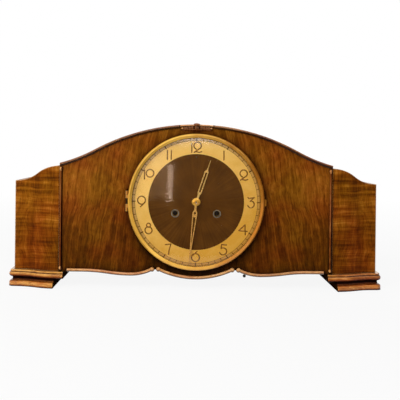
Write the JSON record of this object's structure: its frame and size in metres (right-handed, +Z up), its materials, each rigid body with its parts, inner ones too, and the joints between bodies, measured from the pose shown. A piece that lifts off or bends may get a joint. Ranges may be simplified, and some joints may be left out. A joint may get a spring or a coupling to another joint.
{
  "type": "tambour mantel clock",
  "caption": "Arched wooden mantel clock with serpentine wings, hinged convex-glass bezel, skeleton hands, striking spring movement, pendulum and back door.",
  "frame": {"origin": "centre of the bottom of the bounding box, on the surface that the clock stands on", "axes": "+X to the right seen from the front, -Y to the front, +Z up"},
  "size_m": [0.538, 0.14, 0.237],
  "materials": {
    "veneer": "figured walnut veneer, satin lacquer",
    "moulding_wood": "stained beech mouldings, satin lacquer",
    "carcase_wood": "stained plywood, matt",
    "dial_brown": "brown sunray lacquer",
    "chapter_gold": "satin gilt brass",
    "polished_brass": "polished and lacquered brass",
    "plain_brass": "plain rolled brass",
    "steel": "turned steel",
    "iron": "black painted iron",
    "black_plastic": "black gloss",
    "glass": "clear convex glass"
  },
  "bodies": {
    "case": {"front_panel": "veneer", "roof_board": "veneer", "left_wing": "veneer", "right_wing": "veneer", "top_bead": "moulding_wood", "side_beads": "moulding_wood", "apron_bead_centre": "moulding_wood", "apron_bead_sides": "moulding_wood", "crest_ornament": "moulding_wood", "left_foot": "moulding_wood", "right_foot": "moulding_wood", "left_foot_cap": "moulding_wood", "right_foot_cap": "moulding_wood", "base_board": "carcase_wood", "back_board": "carcase_wood", "dial_plate": "dial_brown", "chapter_ring": "chapter_gold", "bezel_hinge_leaf": "polished_brass", "movement_front_plate": "plain_brass", "movement_back_plate": "plain_brass", "plate_pillars": "plain_brass", "door_hinge_fixed": "plain_brass", "pendulum_cock": "plain_brass", "winding_eyelets": "steel", "bezel_hinge_pin": "steel", "gong_rods": "steel", "lever_bracket": "steel", "movement_brackets": "steel", "gong_block": "iron"},
    "bezel": {"bezel_ring": "polished_brass", "bezel_glass": "glass", "glass_retainer": "plain_brass", "bezel_tab": "polished_brass", "bezel_knuckles": "polished_brass"},
    "minute_drive": {"minute_hand": "polished_brass", "hand_nut": "polished_brass", "centre_arbor": "steel", "centre_wheel": "plain_brass", "cannon_pinion": "plain_brass"},
    "hour_drive": {"hour_hand": "polished_brass", "hour_wheel": "plain_brass"},
    "motion_wheel": {"minute_wheel": "plain_brass"},
    "third_drive": {"third_wheel": "plain_brass"},
    "escape_drive": {"escape_wheel": "plain_brass"},
    "going_spring_barrel": {"going_barrel": "plain_brass"},
    "going_winder": {"going_winding_arbor": "steel"},
    "strike_spring_barrel": {"strike_barrel": "plain_brass"},
    "strike_winder": {"strike_winding_arbor": "steel"},
    "strike_pin_drive": {"pin_wheel": "plain_brass"},
    "fly_drive": {"strike_fly": "plain_brass"},
    "hammers": {"strike_hammers": "steel"},
    "pendulum": {"anchor": "steel", "pendulum_rod": "steel", "pendulum_bob": "polished_brass", "rating_nut": "polished_brass"},
    "regulator": {"regulator_arbor": "steel"},
    "lever": {"strike_lever": "steel", "lever_knob": "black_plastic"},
    "door": {"back_door": "carcase_wood", "door_fittings": "plain_brass"}
  },
  "joints": [
    {"name": "bezel_hinge", "type": "hinge", "parent": "case", "child": "bezel", "pos_m": [-0.0987, -0.0502, 0.125], "axis": [0, 0, -1], "range_deg": [0, 110]},
    {"name": "minute_turn", "type": "hinge", "parent": "case", "child": "minute_drive", "pos_m": [0, 0, 0.125], "axis": [0, 1, 0], "continuous": true},
    {"name": "hour_turn", "type": "hinge", "parent": "case", "child": "hour_drive", "pos_m": [0, 0, 0.125], "axis": [0, 1, 0], "continuous": true},
    {"name": "motion_turn", "type": "hinge", "parent": "case", "child": "motion_wheel", "pos_m": [0, 0, 0.107], "axis": [0, 1, 0], "continuous": true},
    {"name": "third_turn", "type": "hinge", "parent": "case", "child": "third_drive", "pos_m": [-0.01305, 0, 0.14364], "axis": [0, 1, 0], "continuous": true},
    {"name": "escape_turn", "type": "hinge", "parent": "case", "child": "escape_drive", "pos_m": [0, 0, 0.15603], "axis": [0, 1, 0], "continuous": true},
    {"name": "going_barrel_turn", "type": "hinge", "parent": "case", "child": "going_spring_barrel", "pos_m": [-0.029, 0, 0.109], "axis": [0, 1, 0], "continuous": true},
    {"name": "going_winding", "type": "hinge", "parent": "case", "child": "going_winder", "pos_m": [-0.029, 0, 0.109], "axis": [0, 1, 0], "continuous": true},
    {"name": "strike_pin_turn", "type": "hinge", "parent": "case", "child": "strike_pin_drive", "pos_m": [0.03757, 0, 0.14099], "axis": [0, 1, 0], "continuous": true},
    {"name": "strike_barrel_turn", "type": "hinge", "parent": "case", "child": "strike_spring_barrel", "pos_m": [0.029, 0, 0.109], "axis": [0, 1, 0], "continuous": true},
    {"name": "fly_turn", "type": "hinge", "parent": "case", "child": "fly_drive", "pos_m": [0.02707, 0, 0.15918], "axis": [0, 1, 0], "continuous": true},
    {"name": "strike_winding", "type": "hinge", "parent": "case", "child": "strike_winder", "pos_m": [0.029, 0, 0.109], "axis": [0, 1, 0], "continuous": true},
    {"name": "hammer_lift", "type": "hinge", "parent": "case", "child": "hammers", "pos_m": [0.05, 0, 0.092], "axis": [0, 1, 0], "range_deg": [-18, 0]},
    {"name": "pendulum_swing", "type": "hinge", "parent": "case", "child": "pendulum", "pos_m": [0, 0, 0.17203], "axis": [0, 1, 0], "range_deg": [-3, 3]},
    {"name": "regulator_turn", "type": "hinge", "parent": "case", "child": "regulator", "pos_m": [0, 0, 0.187], "axis": [0, 1, 0], "range_deg": [-180, 180]},
    {"name": "lever_shift", "type": "hinge", "parent": "case", "child": "lever", "pos_m": [0.072, 0, 0.064], "axis": [0, 1, 0], "range_deg": [-4, 4]},
    {"name": "door_hinge", "type": "hinge", "parent": "case", "child": "door", "pos_m": [0.0915, 0.068, 0.12], "axis": [0, 0, -1], "range_deg": [0, 105]}
  ],
  "couplings": [
    {"joint": "motion_turn", "follows": "minute_turn", "ratio": -0.33333},
    {"joint": "hour_turn", "follows": "minute_turn", "ratio": 0.083333},
    {"joint": "going_barrel_turn", "follows": "minute_turn", "ratio": -0.2},
    {"joint": "third_turn", "follows": "minute_turn", "ratio": -6},
    {"joint": "escape_turn", "follows": "minute_turn", "ratio": 30},
    {"joint": "strike_barrel_turn", "follows": "strike_pin_turn", "ratio": -0.2},
    {"joint": "fly_turn", "follows": "strike_pin_turn", "ratio": -6}
  ]
}
